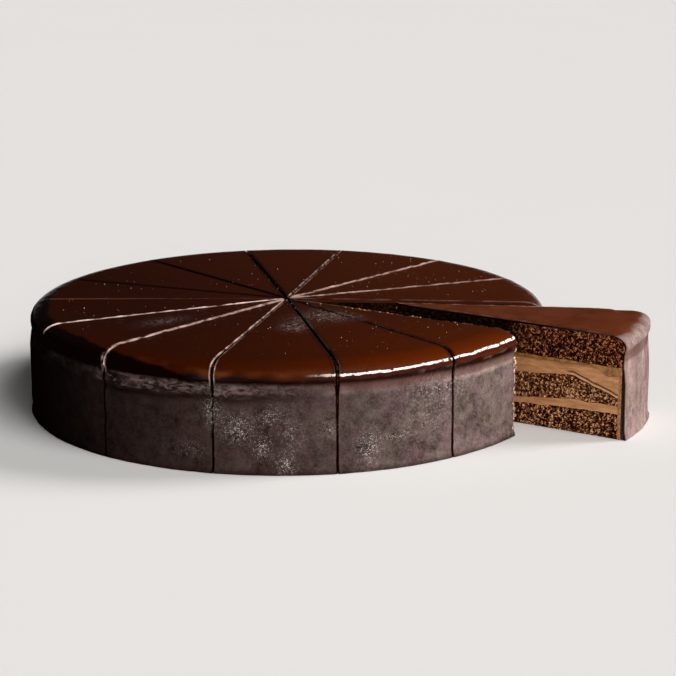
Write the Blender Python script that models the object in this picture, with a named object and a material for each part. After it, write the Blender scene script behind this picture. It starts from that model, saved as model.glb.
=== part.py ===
"""A round glazed chocolate layer cake, cut into fourteen slices, with one of them drawn part of the way out.

Blender 4.5, metres, +Z up. The cake stands on z = 0, and the whole is centred on the origin.
Every slice is a wedge swept about the cake's axis. The drawn slice and the two slices beside
its slot show their layers, so each layer there is a solid of its own. The others are one solid each.
"""

import math

import bmesh
import bpy
import numpy as np
from mathutils import Vector

# The whole cake
CAKE_RADIUS = 0.1300
CAKE_HEIGHT = 0.0527
SLICE_COUNT = 14

# The rim: a full shoulder that ends in a small lip, and a foot where the glaze ran together
SHOULDER_REACH = 0.0130
SHOULDER_DROP = 0.0080
SHOULDER_FULLNESS = 2.4
SHOULDER_STEPS = 7
LIP_OUT = 0.0012
LIP_FADE = 0.0060
FOOT_OUT = 0.0012
FOOT_RISE = 0.0060
CURVE_LEVELS = 4

# The knife cuts, counted anticlockwise seen from above, from the back side of the slot
FIRST_CUT_DEG = -3.0
KNIFE_WANDER_DEG = (-3.0, -2.5, -1.5, 1.5, 1.0, 2.5, 5.5, 2.0, 1.5, 0.5, 0.5, 0.0, 0.5, -3.5)
KNIFE_GAP = 0.0008
WIDE_CUT = 10
WIDE_GAP = 0.0020

# The drawn slice: where the axis of its own rim has moved to, and the way that it points
DRAWN_TO = (0.0532, -0.0090)
DRAWN_DIRECTION_DEG = -21.35

# The layers
GLAZE = 0.0020
CREAM_COAT = 0.0015
FIT_GAP = 0.0003
LAYER_STATIONS = (0.0, 0.070, 0.100, 0.116, 0.122, CAKE_RADIUS)
LAYER_TOPS = {
    "bottom_sponge": (0.0095, 0.0098, 0.0120, 0.0118, 0.0118, 0.0120),
    "lower_cream": (0.0125, 0.0130, 0.0160, 0.0165, 0.0162, 0.0160),
    "middle_sponge": (0.0255, 0.0258, 0.0285, 0.0233, 0.0210, 0.0185),
    "upper_cream": (0.0342, 0.0342, 0.0342, 0.0338, 0.0315, 0.0312),
    "jam": (0.0355, 0.0355, 0.0355, 0.0355, 0.0355, 0.0355),
}
ARC_STEPS = 10
SHARP_ANGLE_DEG = 32.0

# Colour, roughness and metallic value of each finish
FINISHES = {
    "chocolate_glaze": ((0.032, 0.009, 0.004), 0.22, 0.0),
    "chocolate_sponge": ((0.060, 0.022, 0.010), 0.95, 0.0),
    "nut_sponge": ((0.120, 0.055, 0.026), 0.95, 0.0),
    "chocolate_cream": ((0.300, 0.150, 0.075), 0.60, 0.0),
    "apricot_jam": ((0.150, 0.075, 0.018), 0.35, 0.0),
}
LAYER_FINISHES = {
    "glaze": "chocolate_glaze",
    "top_sponge": "chocolate_sponge",
    "jam": "apricot_jam",
    "upper_cream": "chocolate_cream",
    "middle_sponge": "nut_sponge",
    "lower_cream": "chocolate_cream",
    "bottom_sponge": "chocolate_sponge",
}

LIP_HEIGHT = CAKE_HEIGHT - SHOULDER_DROP
SIDE_LEVELS = (
    *np.linspace(0.0, FOOT_RISE, CURVE_LEVELS),
    *np.linspace(LIP_HEIGHT - LIP_FADE, LIP_HEIGHT, CURVE_LEVELS),
)


def clear_scene():
    for thing in list(bpy.data.objects):
        bpy.data.objects.remove(thing, do_unlink=True)


def make_finish(name):
    colour, roughness, metallic = FINISHES[name]
    finish = bpy.data.materials.new(name)
    finish.use_nodes = True
    shader = finish.node_tree.nodes["Principled BSDF"]
    shader.inputs["Base Color"].default_value = (*colour, 1.0)
    shader.inputs["Roughness"].default_value = roughness
    shader.inputs["Metallic"].default_value = metallic
    return finish


# ---- the rim's outline, and the heights of the layers -------------------------------------------


def side_radius(height, inset):
    """The side's radius at this height, seen inset metres inside the outer surface."""
    foot = FOOT_OUT * max(0.0, 1.0 - height / FOOT_RISE) ** 2
    lip = LIP_OUT * max(0.0, 1.0 - (LIP_HEIGHT - height) / LIP_FADE) ** 2
    return CAKE_RADIUS - inset + foot + lip


def side_between(low, high, inset):
    """(radius, height) points up the side from low to high, which all lie on one faceted side."""
    levels = [low, *(level for level in SIDE_LEVELS if low < level < high), high]
    radii = [side_radius(level, inset) for level in SIDE_LEVELS]
    return [(float(np.interp(level, SIDE_LEVELS, radii)), float(level)) for level in levels]


def shoulder(inset):
    """(radius, height) points from the lip up and over to the flat top."""
    reach = SHOULDER_REACH - inset
    drop = SHOULDER_DROP - inset
    flat_from = CAKE_RADIUS + LIP_OUT - SHOULDER_REACH
    points = []
    for step in range(1, SHOULDER_STEPS + 1):
        turn = math.pi / 2 * (1 - step / SHOULDER_STEPS)
        out = math.sin(turn) ** (2 / SHOULDER_FULLNESS) if step < SHOULDER_STEPS else 0.0
        up = math.cos(turn) ** (2 / SHOULDER_FULLNESS)
        points.append((flat_from + reach * out, LIP_HEIGHT + drop * up))
    return points


def outer_outline(inset):
    """The outline from the base up the side, over the shoulder and in to the cake's axis."""
    return [*side_between(0.0, LIP_HEIGHT, inset), *shoulder(inset), (0.0, CAKE_HEIGHT - inset)]


def layer_top(layer, radius):
    return float(np.interp(radius, LAYER_STATIONS, LAYER_TOPS[layer]))


def layer_surface(layer, out_to, raised=0.0):
    """(radius, height) points along a layer's top, from the axis out to the radius out_to."""
    stations = [station for station in LAYER_STATIONS if station < out_to]
    return [(radius, layer_top(layer, radius) + raised) for radius in (*stations, out_to)]


# ---- profiles of the solids, each a closed outline in radius and height ---------------------------


def whole_profile():
    return [(0.0, 0.0), *outer_outline(0.0)]


def glaze_profile():
    return [*outer_outline(0.0), *reversed(outer_outline(GLAZE))]


def top_sponge_profile():
    inset = GLAZE + FIT_GAP
    low = LAYER_TOPS["jam"][-1] + FIT_GAP
    return [(0.0, low), *side_between(low, LIP_HEIGHT, inset), *shoulder(inset), (0.0, CAKE_HEIGHT - inset)]


def filling_profile(layer, below, inset):
    """A layer that lies on the one below, with its outer edge inset metres inside the cake's side."""
    edge = CAKE_RADIUS - inset
    low = layer_top(below, edge) + FIT_GAP
    high = layer_top(layer, edge)
    under = layer_surface(below, edge, FIT_GAP)[:-1]
    return [*under, *side_between(low, high, inset), *reversed(layer_surface(layer, edge)[:-1])]


def bottom_sponge_profile(inset):
    edge = CAKE_RADIUS - inset
    over = layer_surface("bottom_sponge", edge)
    return [(0.0, 0.0), *side_between(0.0, over[-1][1], inset), *reversed(over[:-1])]


def upper_cream_profile():
    """The upper filling, and the thin coat of the same cream that runs down behind the glaze."""
    outside = GLAZE + FIT_GAP
    inside = outside + CREAM_COAT
    edge = CAKE_RADIUS - inside
    under = layer_surface("middle_sponge", edge, FIT_GAP)
    top_edge = CAKE_RADIUS - outside
    over = layer_surface("upper_cream", top_edge)[:-1]
    coat_inside = side_between(0.0, under[-1][1], inside)
    coat_outside = side_between(0.0, layer_top("upper_cream", top_edge), outside)
    return [*under[:-1], *reversed(coat_inside), *coat_outside, *reversed(over)]


def layer_profiles():
    behind_coat = GLAZE + CREAM_COAT + 2 * FIT_GAP
    return {
        "glaze": glaze_profile(),
        "top_sponge": top_sponge_profile(),
        "jam": filling_profile("jam", "upper_cream", GLAZE + FIT_GAP),
        "upper_cream": upper_cream_profile(),
        "middle_sponge": filling_profile("middle_sponge", "lower_cream", behind_coat),
        "lower_cream": filling_profile("lower_cream", "bottom_sponge", behind_coat),
        "bottom_sponge": bottom_sponge_profile(behind_coat),
    }


# ---- wedges --------------------------------------------------------------------------------------


def wedge_tip(half_angle, gaps):
    """Where the two cut faces meet. The faces lie the gaps' halves inside knife lines through the axis."""
    right, left = gaps[0] / 2, gaps[1] / 2
    along = (right + left) / (2 * math.sin(half_angle))
    across = (right - left) / (2 * math.cos(half_angle))
    return Vector((along, across))


def wedge_mesh(name, profile, half_angle, gaps):
    """The profile swept about the axis from one cut face to the other. The slice points along +X."""
    tip = wedge_tip(half_angle, gaps)
    bm = bmesh.new()
    rings = []
    for radius, height in profile:
        if radius <= tip.length:
            rings.append([bm.verts.new((tip.x, tip.y, height))])
            continue
        start = -half_angle + math.asin(gaps[0] / 2 / radius)
        end = half_angle - math.asin(gaps[1] / 2 / radius)
        angles = np.linspace(start, end, ARC_STEPS + 1)
        rings.append([bm.verts.new((radius * math.cos(a), radius * math.sin(a), height)) for a in angles])
    for here, after in zip(rings, rings[1:] + rings[:1]):
        if len(here) > 1 and len(after) > 1:
            for k in range(ARC_STEPS):
                bm.faces.new((here[k], here[k + 1], after[k + 1], after[k]))
        elif len(here) > 1:
            for k in range(ARC_STEPS):
                bm.faces.new((here[k], here[k + 1], after[0]))
        elif len(after) > 1:
            for k in range(ARC_STEPS):
                bm.faces.new((here[0], after[k + 1], after[k]))
    bm.faces.new([ring[0] for ring in rings])
    bm.faces.new([ring[-1] for ring in reversed(rings)])
    bmesh.ops.recalc_face_normals(bm, faces=bm.faces)
    mesh = bpy.data.meshes.new(name)
    bm.to_mesh(mesh)
    bm.free()
    mesh.shade_smooth()
    mesh.set_sharp_from_angle(angle=math.radians(SHARP_ANGLE_DEG))
    return mesh


def add_solid(name, profile, half_angle, gaps, finish, place):
    mesh = wedge_mesh(name, profile, half_angle, gaps)
    mesh.materials.append(finish)
    solid = bpy.data.objects.new(name, mesh)
    bpy.context.scene.collection.objects.link(solid)
    solid.parent = place
    return solid


def add_place(name, parent=None, location=(0.0, 0.0, 0.0), direction_deg=0.0):
    """An empty that holds one slice, or the whole cake, where it stands."""
    place = bpy.data.objects.new(name, None)
    bpy.context.scene.collection.objects.link(place)
    place.parent = parent
    place.location = location
    place.rotation_euler.z = math.radians(direction_deg)
    return place


# ---- the cake ------------------------------------------------------------------------------------


def cut_direction_deg(cut):
    wander = KNIFE_WANDER_DEG[cut % SLICE_COUNT]
    return FIRST_CUT_DEG + cut * 360.0 / SLICE_COUNT + wander


def cut_gap(cut):
    return WIDE_GAP if cut == WIDE_CUT else KNIFE_GAP


def add_layers(name, half_angle, gaps, finishes, place):
    for layer, profile in layer_profiles().items():
        finish = finishes[LAYER_FINISHES[layer]]
        add_solid(f"{name}_{layer}", profile, half_angle, gaps, finish, place)


def add_ring_slice(number, finishes, cake):
    """The slice between cuts number - 1 and number. The first and the last stand beside the slot."""
    start, end = cut_direction_deg(number - 1), cut_direction_deg(number)
    gaps = (cut_gap(number - 1), cut_gap(number))
    half_angle = math.radians(end - start) / 2
    name = f"slice_{number:02d}"
    place = add_place(f"{name}_place", cake, direction_deg=(start + end) / 2)
    if number in (1, SLICE_COUNT - 1):
        add_layers(name, half_angle, gaps, finishes, place)
    else:
        add_solid(name, whole_profile(), half_angle, gaps, finishes["chocolate_glaze"], place)


def add_drawn_slice(finishes, cake):
    place = add_place("drawn_slice_place", cake, (*DRAWN_TO, 0.0), DRAWN_DIRECTION_DEG)
    half_angle = math.pi / SLICE_COUNT
    add_layers("drawn_slice", half_angle, (KNIFE_GAP, KNIFE_GAP), finishes, place)


def centre_on_origin(cake):
    """Moves the cake level, so that the middle of the whole stands over the origin."""
    bpy.context.view_layer.update()
    solids = [thing for thing in bpy.data.objects if thing.type == "MESH"]
    points = np.array([thing.matrix_world @ v.co for thing in solids for v in thing.data.vertices])
    middle = (points.min(axis=0) + points.max(axis=0)) / 2
    cake.location.x -= middle[0]
    cake.location.y -= middle[1]


def main():
    clear_scene()
    finishes = {name: make_finish(name) for name in FINISHES}
    cake = add_place("cake")
    for number in range(1, SLICE_COUNT):
        add_ring_slice(number, finishes, cake)
    add_drawn_slice(finishes, cake)
    centre_on_origin(cake)


main()
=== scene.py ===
"""A sliced chocolate layer cake with one slice drawn out: its glaze, sponges, creams, jam and crumbs."""

import collections
import itertools
import math

import bmesh
import bpy
import numpy as np
from mathutils import Matrix, Vector


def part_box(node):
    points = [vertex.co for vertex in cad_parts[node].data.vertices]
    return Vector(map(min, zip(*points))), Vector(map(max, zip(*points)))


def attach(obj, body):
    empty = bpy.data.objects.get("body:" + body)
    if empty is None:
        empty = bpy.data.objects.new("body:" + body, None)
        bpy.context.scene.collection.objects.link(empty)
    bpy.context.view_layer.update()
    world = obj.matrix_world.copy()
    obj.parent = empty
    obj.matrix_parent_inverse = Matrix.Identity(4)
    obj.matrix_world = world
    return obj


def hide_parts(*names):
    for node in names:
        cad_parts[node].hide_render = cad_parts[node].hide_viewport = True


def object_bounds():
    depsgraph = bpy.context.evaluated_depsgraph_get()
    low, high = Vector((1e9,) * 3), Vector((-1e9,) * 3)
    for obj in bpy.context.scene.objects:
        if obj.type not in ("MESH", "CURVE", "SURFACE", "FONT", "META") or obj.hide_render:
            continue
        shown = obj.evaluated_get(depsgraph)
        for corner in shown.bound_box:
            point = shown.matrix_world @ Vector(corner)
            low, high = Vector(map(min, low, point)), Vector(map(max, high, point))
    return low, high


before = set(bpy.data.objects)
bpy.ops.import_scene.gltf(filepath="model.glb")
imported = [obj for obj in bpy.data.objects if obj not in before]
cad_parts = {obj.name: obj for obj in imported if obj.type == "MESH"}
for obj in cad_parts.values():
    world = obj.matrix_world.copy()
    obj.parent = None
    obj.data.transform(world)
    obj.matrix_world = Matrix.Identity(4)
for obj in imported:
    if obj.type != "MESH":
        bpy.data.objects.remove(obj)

CAD_BOX = [list(corner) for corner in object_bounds()]
MM = 0.001

# ---- sizes, in metres ------------------------------------------------------------------------------

LAYERS = ("bottom_sponge", "lower_cream", "middle_sponge", "upper_cream", "jam", "top_sponge")
OPEN_SLICES = ("slice_01", "slice_13", "drawn_slice")
CLOSED_SLICES = tuple(f"slice_{number:02d}" for number in range(2, 13))

TOP_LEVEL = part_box("drawn_slice_glaze")[1].z
FOOT_RADIUS = (CAD_BOX[1][1] - CAD_BOX[0][1]) / 2
TOP_SINK = 0.35 * MM          # the top lies this far under the box, so that its lips and specks stay inside
RIM_SINK = 0.25 * MM

GLAZE_SKIN = 2.3 * MM
COAT_SKIN = 1.5 * MM
FIT_GAP = 0.15 * MM
LIP_OUT = 1.2 * MM
FOOT_OUT = 1.2 * MM
CAKE_RADIUS = FOOT_RADIUS - FOOT_OUT
SHOULDER_REACH = 13.0 * MM
SHOULDER_DROP = 8.0 * MM
SHOULDER_FULLNESS = 2.4
LIP_FADE = 6.0 * MM
FOOT_RISE = 6.0 * MM
THINNEST_TIP = 0.1 * MM       # a slice's tip is never narrower, so that its mesh stays closed
LIP_HEIGHT = TOP_LEVEL - SHOULDER_DROP

# How high each layer reaches, at these distances from the cake's axis
STATIONS = np.array((0.0, 70.0, 100.0, 116.0, 122.0, 130.0)) * MM
LAYER_TOPS = {
    "bottom_sponge": np.array((9.5, 9.8, 12.0, 11.8, 11.8, 12.0)) * MM,
    "lower_cream": np.array((12.5, 13.0, 16.0, 16.5, 16.2, 16.0)) * MM,
    "middle_sponge": np.array((25.5, 25.8, 28.5, 23.3, 21.0, 18.5)) * MM,
    "upper_cream": np.array((34.2, 34.2, 34.2, 33.8, 31.5, 31.2)) * MM,
    "jam": np.array((35.5, 35.5, 35.5, 35.5, 35.5, 35.5)) * MM,
}

# How far each layer's top rises and falls
UNEVENNESS = {"bottom_sponge": 0.45 * MM, "lower_cream": 0.35 * MM, "middle_sponge": 0.5 * MM,
              "upper_cream": 0.4 * MM, "jam": 0.3 * MM}

# The knife cuts, from the back side of the slot round to its front side: how pale the glaze's broken lip is
# on the clockwise side and on the other (scraped glaze with a painted highlight), the lips' width in
# millimetres, how much painted shade darkens the glaze beside them, and how far the cut stands open on the
# flat top, over the shoulder and down the side, in millimetres
Cut = collections.namedtuple("Cut", "clockwise_lip other_lip lip_width darkness on_top over_rim down_side")
CUTS = tuple(itertools.starmap(Cut, (
    (0.30, 0.10, 0.4, 0.3, 0.6, 0.8, 0.40),
    (0.80, 0.40, 0.5, 0.1, 0.6, 0.6, 0.40),
    (0.90, 0.65, 0.5, 0.1, 0.6, 0.6, 0.40),
    (0.45, 0.45, 0.4, 0.6, 0.8, 0.5, 0.30),
    (0.00, 0.00, 0.3, 1.0, 1.2, 0.5, 0.30),
    (0.00, 0.00, 0.3, 1.0, 1.3, 0.7, 0.30),
    (0.00, 0.00, 0.3, 0.9, 1.1, 1.0, 0.40),
    (0.03, 0.04, 0.5, 0.3, 0.6, 0.6, 0.40),
    (0.75, 0.20, 0.4, 0.1, 0.5, 0.5, 0.30),
    (0.60, 1.00, 0.6, 0.1, 0.5, 0.3, 0.30),
    (0.65, 0.80, 0.3, 0.5, 0.9, 1.4, 0.30),
    (0.05, 0.10, 0.3, 1.0, 1.1, 1.9, 0.35),
    (0.00, 0.05, 0.3, 0.9, 1.3, 1.3, 0.40),
    (0.90, 0.30, 0.6, 0.4, 0.8, 0.8, 0.80),
)))

# How wide each knife cut is between the CAD solids, in millimetres
CAD_GAPS = tuple(2.0 if cut == 10 else 0.8 for cut in range(len(CUTS)))

# Which slices the drawn one stood between, and which cut face of theirs looks into the slot
SLOT_SIDES = {"slice_01": 0, "slice_13": 1}

# Powdery patches on the glaze: direction in degrees, distance from the axis or height in millimetres,
# half the width, half the length or height, strength
FROST_ON_TOP = ((-64, 43, 8, 11, 1.0), (-52, 50, 5, 8, 0.5), (-87, 61, 6, 8, 1.0), (-84, 48, 6, 10, 0.4),
                (-142, 77, 6, 12, 0.45))
FROST_ON_SIDE = (
    (-110.5, 10.5, 9, 4, 0.2), (-105.5, 29, 3.5, 7, 0.7), (-100.2, 21.5, 6.5, 6, 0.8),
    (-95.1, 12.5, 3.5, 4.5, 1.0), (-93.5, 27, 5, 5, 0.5), (-90.5, 5, 4, 4, 0.9), (-89, 19, 5, 8, 0.4),
    (-82, 21, 3.5, 3.5, 0.6), (-73.5, 11, 5, 8, 0.9), (-67.5, 15, 7, 1.6, 0.7), (-60, 22, 15, 9, 0.3),
    (-57, 35, 17, 5, 0.6), (60, 20, 12, 8, 0.6), (118, 24, 14, 7, 0.6), (170, 18, 10, 8, 0.3))

# Where the top's brown gives way to black painted in as shade, for the dark that the shoulder reflects: by
# direction in degrees, the distance from the axis plus the drop from the top, in millimetres
BLACK_RIM = ((-180, -165, -149, -142, -137, -128, -122, -116, -111, -103, 0, 60, 110, 150, 180),
             (121, 121.5, 124, 123, 126, 129.5, 133, 135, 137.7, 138.2, 139, 134, 128, 123, 121))


# ---- node trees written as arithmetic --------------------------------------------------------------


class Value:
    """One output socket of a node. Plain arithmetic on it adds Math nodes to its tree."""

    def __init__(self, tree, socket):
        self.tree = tree
        self.socket = socket

    def _math(self, operation, *others):
        return self.tree.node("ShaderNodeMath", {"operation": operation}, *others)[0]

    def __add__(self, other):
        return self._math("ADD", self, other)

    __radd__ = __add__

    def __sub__(self, other):
        return self._math("SUBTRACT", self, other)

    def __rsub__(self, other):
        return self._math("SUBTRACT", other, self)

    def __mul__(self, other):
        return self._math("MULTIPLY", self, other)

    __rmul__ = __mul__

    def __truediv__(self, other):
        return self._math("DIVIDE", self, other)

    def __rtruediv__(self, other):
        return self._math("DIVIDE", other, self)

    def __pow__(self, other):
        return self._math("POWER", self, other)

    def __neg__(self):
        return self._math("MULTIPLY", self, -1.0)

    def __abs__(self):
        return self._math("ABSOLUTE", self)

    def lower(self, other):
        return self._math("MINIMUM", self, other)

    def higher(self, other):
        return self._math("MAXIMUM", self, other)

    def step(self, low, high):
        """0 below low, 1 above high, and a smooth rise between."""
        settings = {"interpolation_type": "SMOOTHSTEP"}
        ends = {"From Min": low, "From Max": high}
        return self.tree.node("ShaderNodeMapRange", settings, Value=self, **ends)[0]


class Tree:
    """A node tree under construction, for a material or for a geometry tool."""

    def __init__(self, node_tree):
        self.node_tree = node_tree

    def node(self, kind, settings=None, *values, **named):
        """Adds a node: its settings first, then its sockets, by order or by name. Returns its outputs."""
        made = self.node_tree.nodes.new(kind)
        for name, setting in (settings or {}).items():
            setattr(made, name, setting)
        for place, value in enumerate(values):
            self._feed(made.inputs[place], value)
        for name, value in named.items():
            self._feed(self._socket(made, name), value)
        return [Value(self, socket) for socket in made.outputs if socket.enabled]

    def _socket(self, made, name):
        for socket in made.inputs:
            if socket.enabled and name in (socket.name, socket.identifier):
                return socket
        raise KeyError(f"{made.bl_idname} has no input {name}")

    def _feed(self, socket, value):
        if isinstance(value, Value):
            self.node_tree.links.new(value.socket, socket)
        elif value is not None:
            socket.default_value = value

    def vector(self, operation, *values):
        return self.node("ShaderNodeVectorMath", {"operation": operation}, *values)[0]

    def scaled(self, vector, share):
        return self.node("ShaderNodeVectorMath", {"operation": "SCALE"}, vector, Scale=share)[0]

    def parts(self, vector):
        return self.node("ShaderNodeSeparateXYZ", None, vector)

    def join(self, x, y, z):
        return self.node("ShaderNodeCombineXYZ", None, x, y, z)[0]

    def noise(self, place, size, detail=3.0, roughness=0.55, distortion=0.0):
        """Fractal noise from 0 to 1, whose features are about size metres across."""
        return self.node("ShaderNodeTexNoise", None, Vector=place, Scale=1.0 / size, Detail=detail,
                         Roughness=roughness, Distortion=distortion)[0]

    def cells(self, place, size):
        """The distance to the nearest of many scattered points, which lie about size metres apart."""
        return self.node("ShaderNodeTexVoronoi", {"feature": "F1"}, Vector=place, Scale=1.0 / size)[0]


class Finish(Tree):
    """A material's tree, with its shader and the places that patterns read."""

    def __init__(self, name):
        self.material = bpy.data.materials.new(name)
        self.material.use_nodes = True
        super().__init__(self.material.node_tree)
        self.shader = self.node_tree.nodes["Principled BSDF"]
        self.place = self.node("ShaderNodeTexCoord")[3]

    def attribute(self, name):
        return self.node("ShaderNodeAttribute", {"attribute_name": name})[2]

    def attribute_vector(self, name):
        return self.node("ShaderNodeAttribute", {"attribute_name": name})[1]

    def mix(self, share, low, high):
        settings = {"data_type": "RGBA"}
        return self.node("ShaderNodeMix", settings, Factor_Float=share, A_Color=low, B_Color=high)[0]

    def bumps(self, height, depth, strength=1.0, under=None):
        """A relief of depth metres for a height from 0 to 1."""
        return self.node("ShaderNodeBump", None, Height=height, Distance=depth, Strength=strength,
                         Normal=under)[0]

    def blend(self, share, second):
        """Mixes a second shader into the finished one."""
        mixed = self.node("ShaderNodeMixShader", None, share, Value(self, self.shader.outputs[0]), second)[0]
        self.node_tree.links.new(mixed.socket, self.node_tree.nodes["Material Output"].inputs["Surface"])
        return self.material

    def finish(self, **sockets):
        for name, value in sockets.items():
            self._feed(self.shader.inputs[name.replace("_", " ")], value)
        return self.material


def colour(red, green, blue):
    """A colour given as it looks on a screen, from 0 to 255, as linear light."""
    def linear(level):
        share = level / 255.0
        return share / 12.92 if share <= 0.04045 else ((share + 0.055) / 1.055) ** 2.4
    return (linear(red), linear(green), linear(blue), 1.0)


# ---- the cake's outline ------------------------------------------------------------------------------


def waves(points, size, seed):
    """Smooth random waves from -1 to 1 over an array of points. Their crests are about size metres apart."""
    table = np.random.default_rng(seed).uniform(-1.0, 1.0, 8192)
    place = np.asarray(points) / size
    cell = np.floor(place).astype(np.int64)
    share = place - cell
    share = share * share * (3.0 - 2.0 * share)
    total = np.zeros(place.shape[:-1])
    for corner in itertools.product((0, 1), repeat=3):
        hashed = (cell + corner) * (73856093, 19349663, 83492791)
        which = (hashed[..., 0] ^ hashed[..., 1] ^ hashed[..., 2]) % 8192
        weight = np.prod(np.where(corner, share, 1.0 - share), axis=-1)
        total += table[which] * weight
    return total


def near(values, middle, width):
    """A soft bump of height 1 at the middle."""
    return np.exp(-(((values - middle) / width) ** 2))


def between(values, low, high):
    share = np.clip((values - low) / (high - low), 0.0, 1.0)
    return share * share * (3.0 - 2.0 * share)


def side_radius(height, inset):
    """The side's radius at a height, seen inset metres inside the outer surface."""
    foot = FOOT_OUT * np.maximum(0.0, 1.0 - height / FOOT_RISE) ** 2
    lip = LIP_OUT * np.maximum(0.0, 1.0 - (LIP_HEIGHT - height) / LIP_FADE) ** 2
    return CAKE_RADIUS - inset + foot + lip


def shoulder_line(turns, inset):
    """(radius, height) points of the shoulder, from the flat top at turn 0 to the lip at a quarter turn."""
    flat_from = CAKE_RADIUS + LIP_OUT - SHOULDER_REACH
    out = np.abs(np.sin(turns)) ** (2 / SHOULDER_FULLNESS)
    up = np.abs(np.cos(turns)) ** (2 / SHOULDER_FULLNESS)
    radius = flat_from + (SHOULDER_REACH - inset) * out
    return radius, LIP_HEIGHT + (SHOULDER_DROP - inset) * up


def roof_height(radius, inset):
    """How high the inside of the glaze stands over a point at this distance from the axis."""
    radii, heights = shoulder_line(np.linspace(0.0, math.pi / 2, 60), inset)
    return np.interp(radius, radii, heights)


class Plan:
    """One slice seen from above, read from its CAD solid: its rim's centre and its two cut faces."""

    def __init__(self, name):
        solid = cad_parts[f"{name}_glaze" if name in OPEN_SLICES else name]
        points = np.array([vertex.co for vertex in solid.data.vertices])
        level = np.unique(np.round(points[points[:, 2] > TOP_LEVEL - 1e-6][:, :2], 7), axis=0)
        away = np.linalg.norm(level - level.mean(axis=0), axis=1)
        self.tip = level[np.argmax(away)]
        rim = level[np.linalg.norm(level - self.tip, axis=1) > 0.05]
        circle_terms = np.column_stack((rim, np.ones(len(rim))))
        fit = np.linalg.lstsq(circle_terms, (rim ** 2).sum(axis=1), rcond=None)[0]
        self.name = name
        self.centre = fit[:2] / 2
        middle = rim.mean(axis=0) - self.centre
        self.direction = math.atan2(middle[1], middle[0])
        bearing = [self._turned(point - self.centre) for point in rim]
        corners = rim[int(np.argmin(bearing))], rim[int(np.argmax(bearing))]
        self.faces = [self._face(corner) for corner in corners]

    def _turned(self, across):
        """A direction's angle from the middle of the slice."""
        angle = math.atan2(across[1], across[0]) - self.direction
        return (angle + math.pi) % (2 * math.pi) - math.pi

    def _face(self, corner):
        """A cut face's own angle, and how far it passes beside the centre."""
        along = corner - self.tip
        along = along / np.linalg.norm(along)
        from_centre = self.tip - self.centre
        beside = along[0] * from_centre[1] - along[1] * from_centre[0]
        return self._turned(along), beside

    @property
    def tip_radius(self):
        return float(np.linalg.norm(self.tip - self.centre))

    def edges(self, radius, drawn_back=(0.0, 0.0)):
        """The two cut faces' angles from the middle of the slice, at a distance from the centre."""
        (low, low_beside), (high, high_beside) = self.faces
        radius = np.maximum(radius, self.tip_radius)
        start = low + np.arcsin(np.clip((low_beside + drawn_back[0]) / radius, -1.0, 1.0))
        end = high + np.arcsin(np.clip((high_beside - drawn_back[1]) / radius, -1.0, 1.0))
        middle = (start + end) / 2
        half = np.maximum((end - start) / 2, THINNEST_TIP / 2 / radius)
        return middle - half, middle + half

    def points(self, radius, angle, height):
        """Points in the frame, from distances, angles from the slice's middle, and heights."""
        radius, angle, height = np.broadcast_arrays(radius, angle, height)
        x = self.centre[0] + radius * np.cos(self.direction + angle)
        y = self.centre[1] + radius * np.sin(self.direction + angle)
        inside = radius <= self.tip_radius * 1.0001
        return np.stack((np.where(inside, self.tip[0], x), np.where(inside, self.tip[1], y), height), axis=-1)


# ---- blocks of points, and their closed skins ----------------------------------------------------------


def block_mesh(name, grid, values):
    """The closed skin of the block of points grid[i, j, k], carrying named values at the same points."""
    ids = np.arange(grid[..., 0].size).reshape(grid.shape[:3])
    quads = []
    for axis in range(3):
        for end, flip in ((0, True), (-1, False)):
            sheet = np.take(ids, end, axis=axis)
            ring = [sheet[:-1, :-1], sheet[1:, :-1], sheet[1:, 1:], sheet[:-1, 1:]]
            if flip != (axis == 1):
                ring.reverse()
            quads.append(np.stack(ring, axis=-1).reshape(-1, 4))
    quads = np.concatenate(quads)
    used, place = np.unique(quads, return_inverse=True)
    mesh = bpy.data.meshes.new(name)
    mesh.from_pydata(grid.reshape(-1, 3)[used], [], place.reshape(quads.shape))
    for key, value in values.items():
        kind = "FLOAT_VECTOR" if value.ndim == 4 else "FLOAT"
        held = mesh.attributes.new(key, kind, "POINT")
        flat = value.reshape(-1, 3) if value.ndim == 4 else np.broadcast_to(value, grid.shape[:3]).reshape(-1)
        held.data.foreach_set("vector" if value.ndim == 4 else "value", flat[used].astype(np.float32).ravel())
    bm = bmesh.new()
    bm.from_mesh(mesh)
    bmesh.ops.remove_doubles(bm, verts=bm.verts, dist=1e-7)
    bmesh.ops.recalc_face_normals(bm, faces=bm.faces)
    bm.to_mesh(mesh)
    bm.free()
    mesh.validate()
    return mesh


def joined_mesh(name, meshes):
    """Several meshes as one, for a layer that several slices share."""
    bm = bmesh.new()
    for mesh in meshes:
        bm.from_mesh(mesh)
        bpy.data.meshes.remove(mesh)
    joined = bpy.data.meshes.new(name)
    bm.to_mesh(joined)
    bm.free()
    return joined


def add_piece(name, mesh, replaced=()):
    piece = bpy.data.objects.new(name, mesh)
    bpy.context.scene.collection.objects.link(piece)
    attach(piece, "root")
    if replaced:
        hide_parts(*replaced)
    return piece


# ---- the glaze -----------------------------------------------------------------------------------------


def columns(width, count, crowding):
    """Distances from one cut face across to the other, crowded at both, for an array of widths."""
    half = count // 2
    place = np.arange(half + 1)
    crowded_share, rest = np.split(place, [len(crowding)])
    width = width[..., None]
    crowded = np.minimum(crowding, width / 2 * (crowded_share / half))
    last = crowded[..., -1:]
    rest = (rest - crowded_share[-1]) / (half - crowded_share[-1])
    first_half = np.concatenate((crowded, last + (width / 2 - last) * rest), axis=-1)
    return np.concatenate((first_half, width - first_half[..., -2::-1]), axis=-1)


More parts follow.
